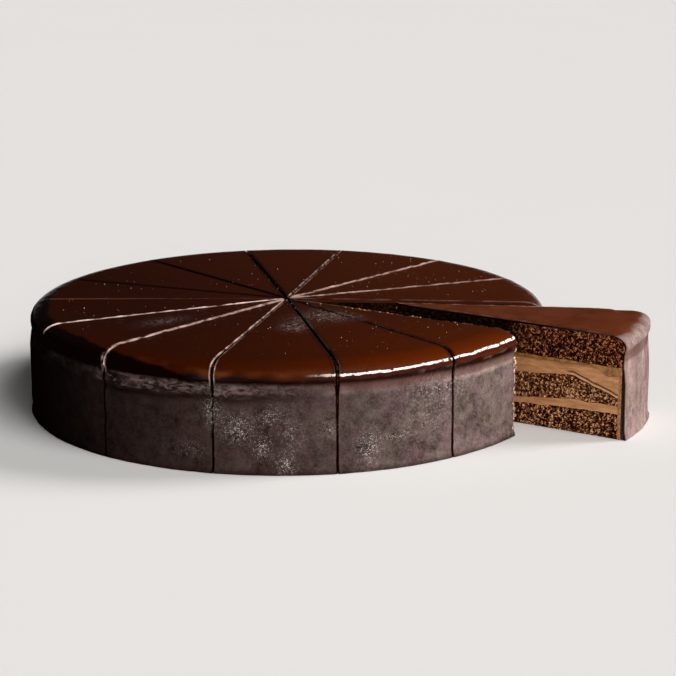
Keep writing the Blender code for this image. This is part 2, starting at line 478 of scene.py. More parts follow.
def glaze_stations():
    """The outline's points: (radius, height) outside, and the same inside the glaze."""
    flat_from = CAKE_RADIUS + LIP_OUT - SHOULDER_REACH
    spans = np.linspace(0.2, 24.0, 16), np.linspace(26.0, 100.0, 44), np.linspace(101.0, 117.0, 17)
    flat = np.concatenate(spans) * MM
    flat = flat[flat < flat_from]
    turns = math.pi / 2 * np.linspace(0.0, 1.0, 44)[:-1] ** 0.8
    levels = np.concatenate((np.linspace(LIP_HEIGHT, 32 * MM, 36)[:-1], np.linspace(32 * MM, 0.0, 40)))
    rows = []
    for inset in (0.0, GLAZE_SKIN):
        over_radius, over_height = shoulder_line(turns, inset)
        radius = np.concatenate((flat, over_radius, side_radius(levels, inset)))
        height = np.concatenate((np.full(len(flat), TOP_LEVEL - inset), over_height, levels))
        rows.append((radius, height))
    return rows


def lip_looks(name):
    """For each side of a slice: how pale its broken lip is (partly a painted highlight), how wide, and its
    painted shade.
    """
    if name == "drawn_slice":
        return (0.1, 0.4, 0.5), (0.5, 0.4, 0.2)
    before, after = CUTS[int(name[-2:]) - 1], CUTS[int(name[-2:])]
    return ((before.other_lip, before.lip_width, before.darkness),
            (after.clockwise_lip, after.lip_width, after.darkness))


def openings(name):
    """How much wider than its CAD solid's each side's gap is: on top, over the rim and down the side."""
    if name == "drawn_slice":
        return np.full((2, 3), 0.15 * MM)
    number = int(name[-2:])
    wider = [np.subtract(CUTS[cut][-3:], CAD_GAPS[cut]) / 2 * MM for cut in (number - 1, number)]
    if name in SLOT_SIDES:
        wider[SLOT_SIDES[name]] = np.full(3, 0.1 * MM)
    return np.array(wider)


def bloom_and_shade_at(name, place, bearing, height):
    """How strongly the dull grey bloom lies: heavier to the right, which also paints in the left side's
    shade, and only below the shoulder.
    """
    if name == "drawn_slice":
        return drawn_bloom(place, height)
    across = (place[..., 0] - AXIS[0]) / CAKE_RADIUS
    # partly painted shade: the bloom thins to the left, standing in for the left side's shade as well as for
    # less bloom
    amount = np.interp(across, (-1, -0.75, -0.53, -0.3, -0.04, 0.2, 0.43, 0.78, 1.0),
                       (0.002, 0.012, 0.033, 0.055, 0.092, 0.144, 0.205, 0.33, 0.35))
    right = between(bearing, -92.0, -74.0)
    ragged = 1.3 * MM * waves(place, 6 * MM, 32) + 0.8 * MM * waves(place, 2 * MM, 33)
    edge = LIP_HEIGHT - (1.6 - 1.8 * right) * MM + ragged
    level = between(height, edge + 0.8 * MM, edge - 0.8 * MM)
    clumps = np.maximum(0.0, 0.6 + 0.9 * waves(place, 7 * MM, 35))
    powder = 0.5 * near(height, 38.6 * MM, 1.7 * MM) * right * clumps
    foot = 0.6 * (1 - between(height, 0.4 * MM, 2.6 * MM))
    crest, here, wobble = folds_at(bearing, place)
    # more bloom on the folds' ridges, partly powder and partly a painted highlight; less in the groove under
    # them, a painted shade
    ridge = 0.13 * here * near(height, crest, 3.2 * MM) * np.clip(0.5 + 1.5 * wobble, 0.0, 1.7)
    groove = 0.85 * here * near(height, crest - 5.4 * MM, 1.7 * MM)
    return level * (amount * np.maximum(0.0, 1 - foot - groove) + ridge) + powder * amount * 2.2


def drawn_bloom(place, height):
    """The drawn slice's bloom, which reaches over its shoulder and hangs down its side in runs."""
    beyond = np.linalg.norm(place[..., :2] - plans["drawn_slice"].centre, axis=-1)
    rim = 122.5 * MM + 1.6 * MM * waves(place, 6 * MM, 31)
    clumps = 0.8 + 0.8 * waves(place, 3 * MM, 40)
    over = 0.16 * near(height, LIP_HEIGHT + 2.5 * MM, 4 * MM) * clumps
    runs = 0.2 * waves(place * (1.0, 1.0, 0.12), 4 * MM, 34)
    return (0.45 + runs + over) * between(beyond, rim, rim + 6 * MM)


def black_from(bearing):
    """Where the painted shade over the rim begins, as a distance from the axis plus a drop from the top."""
    return np.interp(bearing, *BLACK_RIM) * MM


def shade_at(bearing, radius, height, place):
    """1 where black is painted in as shade: over the left shoulder, and in a ragged line along the rest of
    the rim.
    """
    travelled = radius + TOP_LEVEL - height
    ragged = 1.4 * MM * waves(place, 7 * MM, 36) + 0.8 * MM * waves(place, 2.4 * MM, 37)
    start = black_from(bearing) + ragged
    return between(travelled, start - 0.9 * MM, start + 0.9 * MM)


def dullness_at(plan, place, radius, height):
    """1 where the glaze has lost its gloss, below the shoulder."""
    if plan.name == "drawn_slice":
        return between(radius, 120 * MM, 127 * MM)
    bearing = np.degrees(np.arctan2(place[..., 1] - AXIS[1], place[..., 0] - AXIS[0]))
    below = between(height, LIP_HEIGHT + 0.6 * MM, LIP_HEIGHT - 1.6 * MM)
    left = between(np.abs(bearing), 100.0, 112.0)
    front = between(bearing, -114.0, -100.0) * (1 - between(bearing, -28.0, -15.0))
    over = between(height, TOP_LEVEL - 0.8 * MM, LIP_HEIGHT + 4.5 * MM)
    return np.maximum(below, np.maximum(0.95 * left, 0.85 * front) * over)


def painted_glow_at(bearing, radius, height, place):
    """A painted warm reflection: the brown that brightens just before the painted black at the front of the
    rim.
    """
    travelled = radius + TOP_LEVEL - height
    start = black_from(bearing) - 2.6 * MM + 1.4 * MM * waves(place, 7 * MM, 36)
    front = between(bearing, -125.0, -116.0) * (1 - between(bearing, -88.0, -76.0))
    patchy = np.maximum(0.0, 0.45 + 1.2 * waves(place, 7 * MM, 38))
    return near(travelled, start, 2.0 * MM) * front * patchy


def folds_shown(bearing, height, place):
    """Where the crumpled folds lie under the shoulder, for their bumps and their painted shade and highlight
    strokes.
    """
    crest, here, _ = folds_at(bearing, place)
    above_foot = between(height, crest - 4.6 * MM, crest - 3.0 * MM)
    below_head = 1 - between(height, crest + 2.6 * MM, crest + 3.8 * MM)
    return np.maximum(0.0, here - 0.12) * above_foot * below_head


def folds_at(bearing, place):
    """The height of the folds under the shoulder, how strong they are here, and their wobble."""
    crest = 40.6 * MM + 1.5 * MM * waves(place, 17 * MM, 13)
    here = 0.12 + 0.88 * between(bearing, -137.0, -128.0) * (1 - between(bearing, -104.0, -78.0))
    flat = place * (1.0, 1.0, 2.4)
    return crest, here, 0.7 * waves(flat, 6 * MM, 11) + 0.5 * waves(flat, 2.6 * MM, 10)


def rim_features(bearing, height, place):
    """How far the rim's bead, folds and runs stand out, by direction in degrees and by height."""
    bead_here = 0.15 + 0.85 * between(bearing, -86.0, -72.0) * (1 - between(bearing, -22.0, -8.0))
    bead_level = LIP_HEIGHT + 1.5 * MM + 0.4 * MM * waves(place, 1.8 * MM, 12)
    bead = 0.22 * MM * bead_here * near(height, bead_level, 0.5 * MM)
    bead = bead * (0.75 + 0.6 * waves(place, 5 * MM, 20))
    crest, here, wobble = folds_at(bearing, place)
    ridge = 1.2 * MM * here * near(height, crest, 3.0 * MM) * (0.1 + 1.2 * wobble)
    dents = np.maximum(0.0, 0.2 + waves(place, 8 * MM, 23))
    hollow = 1.2 * MM * here * near(height, crest + 3.2 * MM, 1.2 * MM) * dents
    groove = 1.3 * MM * here * near(height, crest - 5.4 * MM, 1.6 * MM) * (0.8 + 0.5 * wobble)
    back = np.where(bearing > 0, between(bearing, 100.0, 118.0), between(-bearing, 128.0, 145.0))
    upright = 0.9 * MM * between(height, 0.0, 9 * MM) * (1 - between(height, 33 * MM, 43 * MM))
    upright = upright - 1.0 * MM * near(height, LIP_HEIGHT, 4.5 * MM)
    lumps = 0.22 * MM * waves(place, 9 * MM, 14) + 0.12 * MM * waves(place * (1.0, 1.0, 0.25), 3 * MM, 15)
    foot = 0.45 * MM * near(height, 1.6 * MM, 1.4 * MM) * waves(place, 4 * MM, 16)
    on_side = 1 - between(height, LIP_HEIGHT, LIP_HEIGHT + 5 * MM)
    return bead + ridge - groove - hollow + upright * back + (lumps + foot) * on_side


def frost_at(bearing, radius, height):
    """How much sugar bloom lies here, from the powdery patches."""
    total = np.zeros(np.broadcast(bearing, radius, height).shape)
    over_rim = height > LIP_HEIGHT + 4 * MM
    for direction, distance, across, along, strength in FROST_ON_TOP:
        turned = np.radians((bearing - direction + 180.0) % 360.0 - 180.0)
        beside = radius * np.sin(turned) / MM
        ahead = radius * np.cos(turned) / MM - distance
        total += strength * near(beside, 0.0, across) * near(ahead, 0.0, along) * over_rim
    for direction, level, across, along, strength in FROST_ON_SIDE:
        turned = np.radians((bearing - direction + 180.0) % 360.0 - 180.0)
        beside = CAKE_RADIUS / MM * turned
        total += strength * near(beside, 0.0, across) * near(height / MM, level, along) * ~over_rim
    return total


def glaze_edges(plan, radius, height):
    """The angles of a shell's two edges, drawn back by the knife's wander, by chips and as the cut opened."""
    seed = sum(map(ord, plan.name))
    along_cut = np.stack((radius, height, np.full_like(radius, seed * 0.01)), axis=-1)
    levels = LIP_HEIGHT - 9 * MM, LIP_HEIGHT - 1 * MM, LIP_HEIGHT + 5 * MM, TOP_LEVEL - 0.1 * MM
    near_rim = between(radius, 95 * MM, 118 * MM) * (height > LIP_HEIGHT + 6 * MM)
    drawn_back = []
    for side, (on_top, over_rim, down_side) in enumerate(openings(plan.name)):
        wander = 0.12 * MM * waves(along_cut, 11 * MM, seed + side)
        chips = 0.30 * MM * np.maximum(0.0, waves(along_cut, 2.2 * MM, seed + 5 + side) - 0.25)
        opened = np.interp(height, levels, (down_side, over_rim, over_rim, on_top))
        opened = opened + (over_rim - on_top) * 0.5 * near_rim
        drawn_back.append(np.minimum(wander + chips + opened, radius * 0.05))
    return plan.edges(radius, drawn_back)


def broken_lips(plan, place, height, from_start, from_end):
    """Along a slice's two cut edges: how pale the glaze is (scraped, with a painted highlight), how far its
    lips stand up, and the painted shade beside them.
    """
    pale, lift, shade = np.zeros((3, *from_start.shape))
    on_side = between(height, LIP_HEIGHT + 1 * MM, LIP_HEIGHT - 5 * MM)
    for distance, looks, salt in zip((from_start, from_end), lip_looks(plan.name), (21, 22)):
        strength, wide, dark = looks
        is_torn = plan.name == "slice_13" and distance is from_end
        broken = 0.6 + 0.8 * waves(place, 4.5 * MM, salt) + 0.6 * waves(place, 1.6 * MM, salt + 4)
        broken = np.clip(broken, 0, 1.25)
        lift += near(distance, 0.5 * MM, 0.38 * MM) * 0.3 * MM * (0.15 + strength) * broken
        lift -= np.where(height < LIP_HEIGHT, 0.3, 0.5) * MM * near(distance, 0.0, 0.22 * MM)
        shown = 0.12 + between(height, LIP_HEIGHT + 3 * MM, LIP_HEIGHT - 1 * MM) if is_torn else 1 - on_side
        # pale: scraped glaze with a painted highlight; on the torn edge it stands for painted glints
        pale += strength * near(distance, wide * MM, wide * MM) * broken * shown
        # painted shade: dark beside the cut on the top, and a dark line down the gap on the side
        dark_on_top = dark * near(distance, 0.0, 1.3 * MM) * (1 - on_side)
        dark_on_side = 0.95 * on_side * near(distance, 0.0, 0.42 * MM) * (not is_torn)
        shade = np.maximum(shade, np.maximum(dark_on_top, dark_on_side))
    return pale, lift, shade


def drawn_wear(radius, height, from_end):
    """How far the drawn slice's glaze has sunk: along its shoulder, at its back corner and round its lip."""
    shoulder = 1.1 * MM * between(radius, 98 * MM, 132 * MM) * between(height, LIP_HEIGHT, TOP_LEVEL)
    corner = 2.4 * MM * between(from_end, 10 * MM, 0.0) ** 2 * between(radius, 108 * MM, 124 * MM)
    return shoulder + corner + 1.1 * MM * near(height, LIP_HEIGHT - 3 * MM, 13 * MM)


def kept_in(radius):
    """A radius eased back, so that nothing stands out past the widest point of the CAD solids."""
    soft = 0.12 * MM
    widest = FOOT_RADIUS - 0.03 * MM
    return widest - soft * np.logaddexp(0.0, (widest - radius) / soft)


def glaze_mesh(plan):
    """A slice's shell of glaze, with its raised and broken cut edges and its uneven rim."""
    (out_radius, out_height), (in_radius, in_height) = glaze_stations()
    depth = np.linspace(0.0, 1.0, 4)
    radius = out_radius[:, None] * (1 - depth) + in_radius[:, None] * depth
    height = out_height[:, None] * (1 - depth) + in_height[:, None] * depth
    radius = np.maximum(radius, plan.tip_radius)
    start, end = glaze_edges(plan, radius, height)
    width = (end - start) * radius
    crowding = np.array((0.0, 0.14, 0.3, 0.5, 0.75, 1.05, 1.5, 2.2, 3.2)) * MM
    from_start = np.moveaxis(columns(width, 46, crowding), 2, 1)
    radius, height, width = radius[:, None, :], height[:, None, :], width[:, None, :]
    from_end = width - from_start
    edge = np.minimum(from_start, from_end)
    angle = start[:, None, :] + from_start / radius
    place = plan.points(radius, angle, height)
    bearing = (np.degrees(plan.direction + angle) + 180.0) % 360.0 - 180.0

    pale, lips, shade = broken_lips(plan, place, height, from_start, from_end)
    left = between(np.abs(bearing), 138.0, 150.0)
    pale = pale * (1 - left * between(height, LIP_HEIGHT + 6 * MM, LIP_HEIGHT + 3 * MM))
    dip = 0.10 * MM * waves(place, 22 * MM, 17) + 0.04 * MM * waves(place, 6 * MM, 18)
    lift = lips * np.clip(width / (3 * MM), 0.0, 1.0) + dip * between(edge, 0.0, 3 * MM)
    lift = lift + rim_features(bearing, height, place)
    bloom = bloom_and_shade_at(plan.name, place, bearing, height)
    # painted reflection: warm brown just before the rim's painted shade
    glow = painted_glow_at(bearing, radius, height, place)
    if plan.name == "drawn_slice":
        lift = lift - drawn_wear(radius, height, from_end)
    else:
        shade = np.maximum(shade, shade_at(bearing, radius, height, place))
    if plan.name == "slice_07":
        # painted glint: an orange broken line beside cut 7
        glow = glow + 2.2 * near(from_end, 0.7 * MM, 0.6 * MM) * between(radius, 50 * MM, 90 * MM)
    if plan.name == "slice_13":
        torn = near(from_end, 0.0, 1.6 * MM) * (0.8 + 0.6 * waves(place, 2.5 * MM, 19))
        lift = lift - 1.0 * MM * torn * between(radius, 20 * MM, 60 * MM)
        bloom = bloom * (1 - 0.8 * near(from_end, 0.0, 2.0 * MM + 0.8 * MM * waves(place, 3 * MM, 39)))
    lift = np.where(radius > plan.tip_radius * 1.0001, lift, 0.0)

    step_radius, step_height = np.gradient(out_radius), np.gradient(out_height)
    length = np.hypot(step_radius, step_height)
    outward = (-step_height / length)[:, None, None]
    upward = (step_radius / length)[:, None, None]
    outer = (1 - depth)[None, None, :]
    lift = (lift - TOP_SINK * np.abs(upward) - RIM_SINK * np.abs(outward)) * outer
    lift = np.maximum(lift, -(GLAZE_SKIN - 0.6 * MM) * outer)
    new_radius = np.where(radius > 60 * MM, kept_in(radius + lift * outward), radius)
    new_height = np.clip(height + lift * upward, 0.025 * MM, TOP_LEVEL - 0.08 * MM)
    values = {
        "edge": edge,
        "pale": pale * outer,
        "frost": frost_at(bearing, radius, height) * outer,
        "bloom": bloom * outer,
        "shade": shade * outer,
        "fold": folds_shown(bearing, height, place) * outer,
        "glow": glow * outer,
        "drawn": np.full_like(from_start, float(plan.name == "drawn_slice")),
        "open_edge": near(from_start, 0.0, 0.8 * MM) * (plan.name == "slice_01"),
        "dull": dullness_at(plan, place, radius, height) * outer,
        "skin": outer,
        "cut": near(edge, 0.0, 0.05 * MM) * (depth > 0.0),
        "outward": cut_directions(plan, from_start.shape),
    }
    return block_mesh(plan.name + "_glaze_skin", plan.points(new_radius, angle, new_height), values)


def cut_directions(plan, shape):
    """Which way each point's nearer cut face looks."""
    (low, _), (high, _) = plan.faces
    directions = np.zeros((*shape, 3))
    low, high = plan.direction + low, plan.direction + high
    half = shape[1] // 2
    directions[:, :half] = (math.sin(low), -math.cos(low), 0.0)
    directions[:, half:] = (-math.sin(high), math.cos(high), 0.0)
    return directions


# ---- the layers under the glaze ------------------------------------------------------------------------


def layer_top(layer, radius, place):
    """How high a layer reaches, with the unevenness that it shares with the layer on it."""
    if layer == "top_sponge":
        return roof_height(radius, GLAZE_SKIN + FIT_GAP)
    nearby = [radius + shift * MM for shift in (-4.5, -1.5, 1.5, 4.5)]
    level = np.mean([np.interp(there, STATIONS, LAYER_TOPS[layer]) for there in nearby], axis=0)
    if layer == "upper_cream":
        sag, swell = near(radius, 119.5 * MM, 4 * MM), near(radius, 108 * MM, 8 * MM)
        level = level - 2.0 * MM * sag + 0.7 * MM * swell
    salt = 40 + LAYERS.index(layer)
    size = UNEVENNESS[layer]
    return level + size * waves(place, 7 * MM, salt) + 0.5 * size * waves(place, 2.2 * MM, salt + 10)


def layer_between(layer, radius, place):
    """The heights of a layer's underside and top."""
    order = LAYERS.index(layer)
    under = layer_top(LAYERS[order - 1], radius, place) + FIT_GAP if order else np.zeros_like(radius)
    return under, layer_top(layer, radius, place)


def layer_mesh(plan, layer, grain, arc_steps):
    """A layer of one slice as a closed wedge, with points grain metres apart on its cut faces."""
    coat_inside = CAKE_RADIUS - GLAZE_SKIN - COAT_SKIN - 2 * FIT_GAP
    behind_glaze = GLAZE_SKIN + FIT_GAP
    coated = layer in ("bottom_sponge", "lower_cream", "middle_sponge", "jam")
    reach = coat_inside if coated else CAKE_RADIUS - behind_glaze
    if layer == "top_sponge":
        reach += LIP_OUT
    count = int(reach / grain)
    stations = np.linspace(plan.tip_radius, reach, count)
    if layer == "upper_cream":
        stations = stations[stations < coat_inside - grain * 0.5]
        coat = np.linspace(coat_inside + FIT_GAP, reach, 5)
        stations = np.concatenate((stations, [coat_inside + FIT_GAP * 0.9], coat))
    start, end = plan.edges(stations)
    share = np.linspace(0.0, 1.0, arc_steps + 1)
    angle = start[:, None] + (end - start)[:, None] * share
    flat = plan.points(stations[:, None], angle, np.zeros_like(angle))
    under, over = layer_between(layer, stations[:, None] * np.ones_like(angle), flat)
    if layer == "upper_cream":
        in_coat = stations[:, None] > coat_inside + FIT_GAP * 0.95
        under = np.where(in_coat, 0.0, under + 0.4 * MM * between(stations[:, None], 96 * MM, 104 * MM))
        over = np.where(in_coat, LAYER_TOPS["jam"][-1], over)
    over = np.maximum(over, under + 0.2 * MM)
    rows = max(2, int((np.max(over[: count // 2] - under[: count // 2])) / grain) + 1)
    climb = np.linspace(0.0, 1.0, rows)
    height = under[..., None] + (over - under)[..., None] * climb
    limit = side_radius(np.minimum(height, LIP_HEIGHT), GLAZE_SKIN + FIT_GAP) if not coated else coat_inside
    radius = np.minimum(stations[:, None, None], limit)
    grid = plan.points(radius, np.broadcast_to(angle[..., None], height.shape), height)
    cut = np.zeros(height.shape)
    cut[:, 0] = cut[:, -1] = 1.0
    values = {"cut": cut, "outward": cut_directions(plan, height.shape), "low": height - under[..., None],
              "reach": stations[:, None, None]}
    return block_mesh(f"{plan.name}_{layer}_wedge", grid, values)


# ---- geometry tools ------------------------------------------------------------------------------------


class Tool(Tree):
    """A Geometry Nodes tree with named inputs, which turns a piece's mesh into its finished mesh."""

    def __init__(self, name, **inputs):
        group = bpy.data.node_groups.new(name, "GeometryNodeTree")
        kinds = {"Geometry": "NodeSocketGeometry", "Finish": "NodeSocketMaterial"}
        group.interface.new_socket("Geometry", in_out="OUTPUT", socket_type="NodeSocketGeometry")
        for key in ("Geometry", *inputs, "Finish"):
            kind = kinds.get(key, "NodeSocketFloat")
            socket = group.interface.new_socket(key, in_out="INPUT", socket_type=kind)
            if key in inputs:
                socket.default_value = inputs[key]
        super().__init__(group)
        given = self.node("NodeGroupInput")
        self.given = dict(zip(("Geometry", *inputs, "Finish"), given))

    def held(self, name, kind="FLOAT"):
        return self.node("GeometryNodeInputNamedAttribute", {"data_type": kind}, Name=name)[0]

    def close(self, geometry):
        real = self.node("GeometryNodeRealizeInstances", None, geometry)[0]
        painted = self.node("GeometryNodeSetMaterial", None, Geometry=real, Material=self.given["Finish"])[0]
        self.node("NodeGroupOutput", None, painted)

    def close_moved(self, offset):
        """Ends the tree with the given mesh, moved point by point."""
        moved = self.node("GeometryNodeSetPosition", None, Geometry=self.given["Geometry"], Offset=offset)[0]
        self.close(moved)

    def shape(self, piece, finish, **sizes):
        """Runs the tool on a piece and keeps the result as its plain mesh."""
        modifier = piece.modifiers.new(self.node_tree.name, "NODES")
        modifier.node_group = self.node_tree
        for item in self.node_tree.interface.items_tree:
            if item.item_type == "SOCKET" and item.in_out == "INPUT" and item.name != "Geometry":
                given = finish if item.name == "Finish" else sizes.get(item.name, item.default_value)
                modifier[item.identifier] = given
        seen = bpy.context.evaluated_depsgraph_get()
        made = bpy.data.meshes.new_from_object(piece.evaluated_get(seen), depsgraph=seen)
        piece.modifiers.clear()
        piece.data = made
        made.name = piece.name
        made.shade_smooth()
        made.set_sharp_from_angle(angle=math.radians(50.0))
        return piece


def make_crumb_tool():
    """Gives a layer's cut faces their crumbs and pores, or the knife's smears in a cream."""
    sizes = dict(Pores=1.6 * MM, Depth=0.7 * MM, Grain=0.9 * MM, Height=0.25 * MM, Stretch=1.0)
    tool = Tool("Crumb and pores", **sizes)
    place = tool.node("GeometryNodeInputPosition")[0]
    place = tool.vector("MULTIPLY", place, tool.join(1.0, 1.0, tool.given["Stretch"]))
    warp = tool.node("ShaderNodeTexNoise", None, Vector=place, Scale=0.5 / MM, Detail=1.0)[1]
    place = tool.vector("ADD", place, tool.scaled(warp, 1.2 * MM))
    clumps = tool.noise(place, tool.given["Pores"] / 0.35, 2.0, 0.5)
    pores = tool.cells(place, tool.given["Pores"]).step(0.52, 0.16) * clumps.step(0.36, 0.62)
    grain = tool.noise(place, tool.given["Grain"], 3.0, 0.5)
    out = (grain - 0.55) * 2.0 * tool.given["Height"] - pores * tool.given["Depth"]
    tool.close_moved(tool.scaled(tool.held("outward", "FLOAT_VECTOR"), out * tool.held("cut")))
    return tool


def make_skin_tool():
    """Gives the glaze its fine unevenness, and its broken cut edges their crumb."""
    tool = Tool("Glaze skin", Wave=5.0 * MM, Rise=0.05 * MM, Grain=1.0 * MM, Height=0.3 * MM)
    place = tool.node("GeometryNodeInputPosition")[0]
    wave = tool.noise(place, tool.given["Wave"], 2.0, 0.5)
    rise = (wave - 0.5) * 2.0 * tool.given["Rise"] * tool.held("skin") * tool.held("edge").step(0.0, 3 * MM)
    skin = tool.scaled(tool.node("GeometryNodeInputNormal")[0], rise)
    grain = tool.noise(place, tool.given["Grain"], 2.0, 0.5)
    inward = (grain - 0.75).lower(0.0) * 2.0 * tool.given["Height"] * tool.held("cut")
    face = tool.scaled(tool.held("outward", "FLOAT_VECTOR"), inward)
    tool.close_moved(tool.vector("ADD", skin, face))
    return tool


def make_scatter_tool(name, seed):
    """Strews small uneven lumps over a sheet, as many as its own density attribute asks for."""
    tool = Tool(name, Smallest=0.3, Largest=1.0, Size=1.0 * MM, Sink=0.0)
    spots = tool.node("GeometryNodeDistributePointsOnFaces", {"distribute_method": "RANDOM"},
                      Mesh=tool.given["Geometry"], Density=tool.held("thick"), Seed=seed)[0]
    lump = tool.node("GeometryNodeMeshIcoSphere", None, Radius=0.5, Subdivisions=1)[0]
    place = tool.node("GeometryNodeInputPosition")[0]
    knock = tool.node("ShaderNodeTexNoise", None, Vector=place, Scale=2.3, Detail=1.0)[1]
    knock = tool.scaled(tool.vector("SUBTRACT", knock, (0.5, 0.5, 0.5)), 0.9)
    lump = tool.node("GeometryNodeSetPosition", None, Geometry=lump, Offset=knock)[0]
    turn = tool.node("FunctionNodeRandomValue", {"data_type": "FLOAT_VECTOR"}, Min=(0.0, 0.0, 0.0),
                     Max=(6.28, 6.28, 6.28), Seed=seed + 1)[0]
    share = tool.node("FunctionNodeRandomValue", {"data_type": "FLOAT"}, Seed=seed + 2)[0]
    small, large = tool.given["Smallest"], tool.given["Largest"]
    scale = (small + (large - small) * share ** 2.5) * tool.given["Size"]
    strewn = tool.node("GeometryNodeInstanceOnPoints", None, Points=spots, Instance=lump, Rotation=turn,
                       Scale=tool.join(scale, scale, scale * 0.8))[0]
    sunk = tool.node("GeometryNodeTranslateInstances", None, Instances=strewn,
                     Translation=tool.join(0.0, 0.0, -tool.given["Sink"]))[0]
    tool.close(sunk)
    return tool


# ---- finishes -------------------------------------------------------------------------------------------


def top_colour(glaze, cloud):
    """The glossy top: warmer to the right and in front, partly as painted light, browner on the drawn slice,
    and painted shade over the rim.
    """
    x, y, _ = glaze.parts(glaze.place)
    # partly painted light: warmer and brighter to the right and in front, where the light falls, besides the
    # glaze's own warmth
    rightward = (x + 0.3 * y).step(-0.13, 0.14)
    forward = y.step(-0.025, -0.115)
    deep = glaze.mix(rightward, colour(44, 13, 4), colour(80, 33, 12))
    warm = glaze.mix(rightward, colour(50, 14, 1), colour(106, 40, 2))
    top = glaze.mix(forward * (0.55 + 0.6 * cloud), deep, warm)
    dusty = glaze.noise(glaze.place, 11 * MM, 3.0).step(0.35, 0.65)
    top = glaze.mix(glaze.attribute("drawn") * (0.45 + 0.4 * dusty), top, colour(116, 59, 35))
    # painted reflection: the warm glow just before the rim
    top = glaze.mix(glaze.attribute("glow") * 0.3, top, colour(120, 62, 26))
    # painted shade over the rim, a little lighter to the right where more light falls
    black = glaze.mix((x - AXIS[0]).step(-0.06, 0.06), colour(12, 3, 2), colour(34, 9, 4))
    return glaze.mix(glaze.attribute("shade").lower(1.0), top, black)


def side_colour(glaze, mottle, fine, strokes):
    """The dull side: a dark base under an uneven grey-mauve bloom, both darker to the left as painted shade,
    a browner band, and the folds' painted shade and highlight strokes.
    """
    x, y, z = glaze.parts(glaze.place)
    broad = glaze.noise(glaze.place, 17 * MM, 2.0)
    runs = glaze.noise(glaze.vector("MULTIPLY", glaze.place, (1.0, 1.0, 0.18)), 3.5 * MM, 3.0, 0.6)
    uneven = 1.0 + 1.5 * (broad - 0.5) + 2.3 * (mottle - 0.5) + 0.6 * (runs - 0.5) + 1.9 * (fine - 0.5)
    # painted shade: the base darkens to the left
    base = glaze.mix((x - AXIS[0]).step(-0.12, -0.02), colour(10, 5, 4), colour(30, 14, 11))
    base = glaze.mix(glaze.attribute("drawn"), base, colour(92, 67, 62))
    tint = glaze.noise(glaze.place, 13 * MM, 2.0).step(0.4, 0.6)
    ashen = glaze.mix(tint, colour(174, 147, 146), colour(169, 151, 142))
    side = glaze.mix((glaze.attribute("bloom") * uneven).lower(1.0).higher(0.0), base, ashen)
    right = (x - AXIS[0]).step(0.0, 0.04) * y.step(0.0, -0.02)
    rim_band = z.step(37.5 * MM, 39.5 * MM) * z.step(45.5 * MM, 43.0 * MM) * right
    side = glaze.mix(rim_band * (0.35 + 0.5 * mottle), side, colour(92, 58, 50))
    fold = glaze.attribute("fold")
    # painted shade in the folds' creases and, below, painted highlights on their crests
    side = glaze.mix(fold * strokes.step(0.46, 0.40) * 0.85, side, colour(16, 8, 7))
    return glaze.mix(fold * strokes.step(0.52, 0.60) * 0.6, side, colour(118, 97, 96))


def joined_skin(glaze, top, side):
    """The top's colour and the side's, which takes over where the bloom begins."""
    z = glaze.parts(glaze.place)[2]
    counted = z.step(LIP_HEIGHT - 4 * MM, LIP_HEIGHT - 1 * MM)
    counted = counted.higher(glaze.attribute("edge").step(0.6 * MM, 0.4 * MM))
    # where painted shade lies, the top's colour goes on down over the rim
    black = (glaze.attribute("shade") * counted).lower(1.0)
    bloomed = glaze.attribute("bloom").step(0.0, 0.012 + 0.3 * glaze.attribute("drawn"))
    return glaze.mix(bloomed * (1.0 - black), top, side)


def powdered(glaze, skin):
    """The skin under its powdery patches, which are fine grains with a little haze between."""
    grains = glaze.cells(glaze.place, 0.55 * MM).step(0.46, 0.18)
    grains = grains * glaze.noise(glaze.place, 1.4 * MM).step(0.45, 0.56)
    haze = glaze.noise(glaze.place, 2.2 * MM, 4.0, 0.7).step(0.42, 0.72)
    powder = (glaze.attribute("frost") * 1.2).lower(1.0) * (0.14 * haze + grains)
    return glaze.mix((powder * 0.9).lower(0.85), skin, colour(226, 212, 206))


def crest_highlight(glaze, skin, fine):
    """The skin with a painted highlight, the broken bright line along the front of the rim, and the dark line
    under it.
    """
    x, y, z = glaze.parts(glaze.place)
    line = z - LIP_HEIGHT - 0.9 * MM - 1.4 * MM * glaze.noise(glaze.place, 5 * MM, 2.0) - 0.8 * MM * fine
    line = line - 1.9 * MM * (x - AXIS[0]).step(0.03, 0.11)
    broken = glaze.noise(glaze.place, 3.0 * MM, 3.0, 0.7).step(0.36, 0.46)
    front = y.step(-0.04, -0.06) * glaze.attribute("drawn").step(0.5, 0.4)
    bright = abs(line).step(0.62 * MM, 0.34 * MM) * broken * front * (x - AXIS[0]).step(0.006, 0.03)
    under = abs(line + 1.3 * MM).step(1.0 * MM, 0.5 * MM) * front * (x - AXIS[0]).step(-0.03, 0.03)
    skin = glaze.mix(under * 0.75, skin, colour(56, 20, 13))
    # painted highlight: the bright broken line along the front of the rim
    return glaze.mix(bright, skin, colour(255, 246, 238))


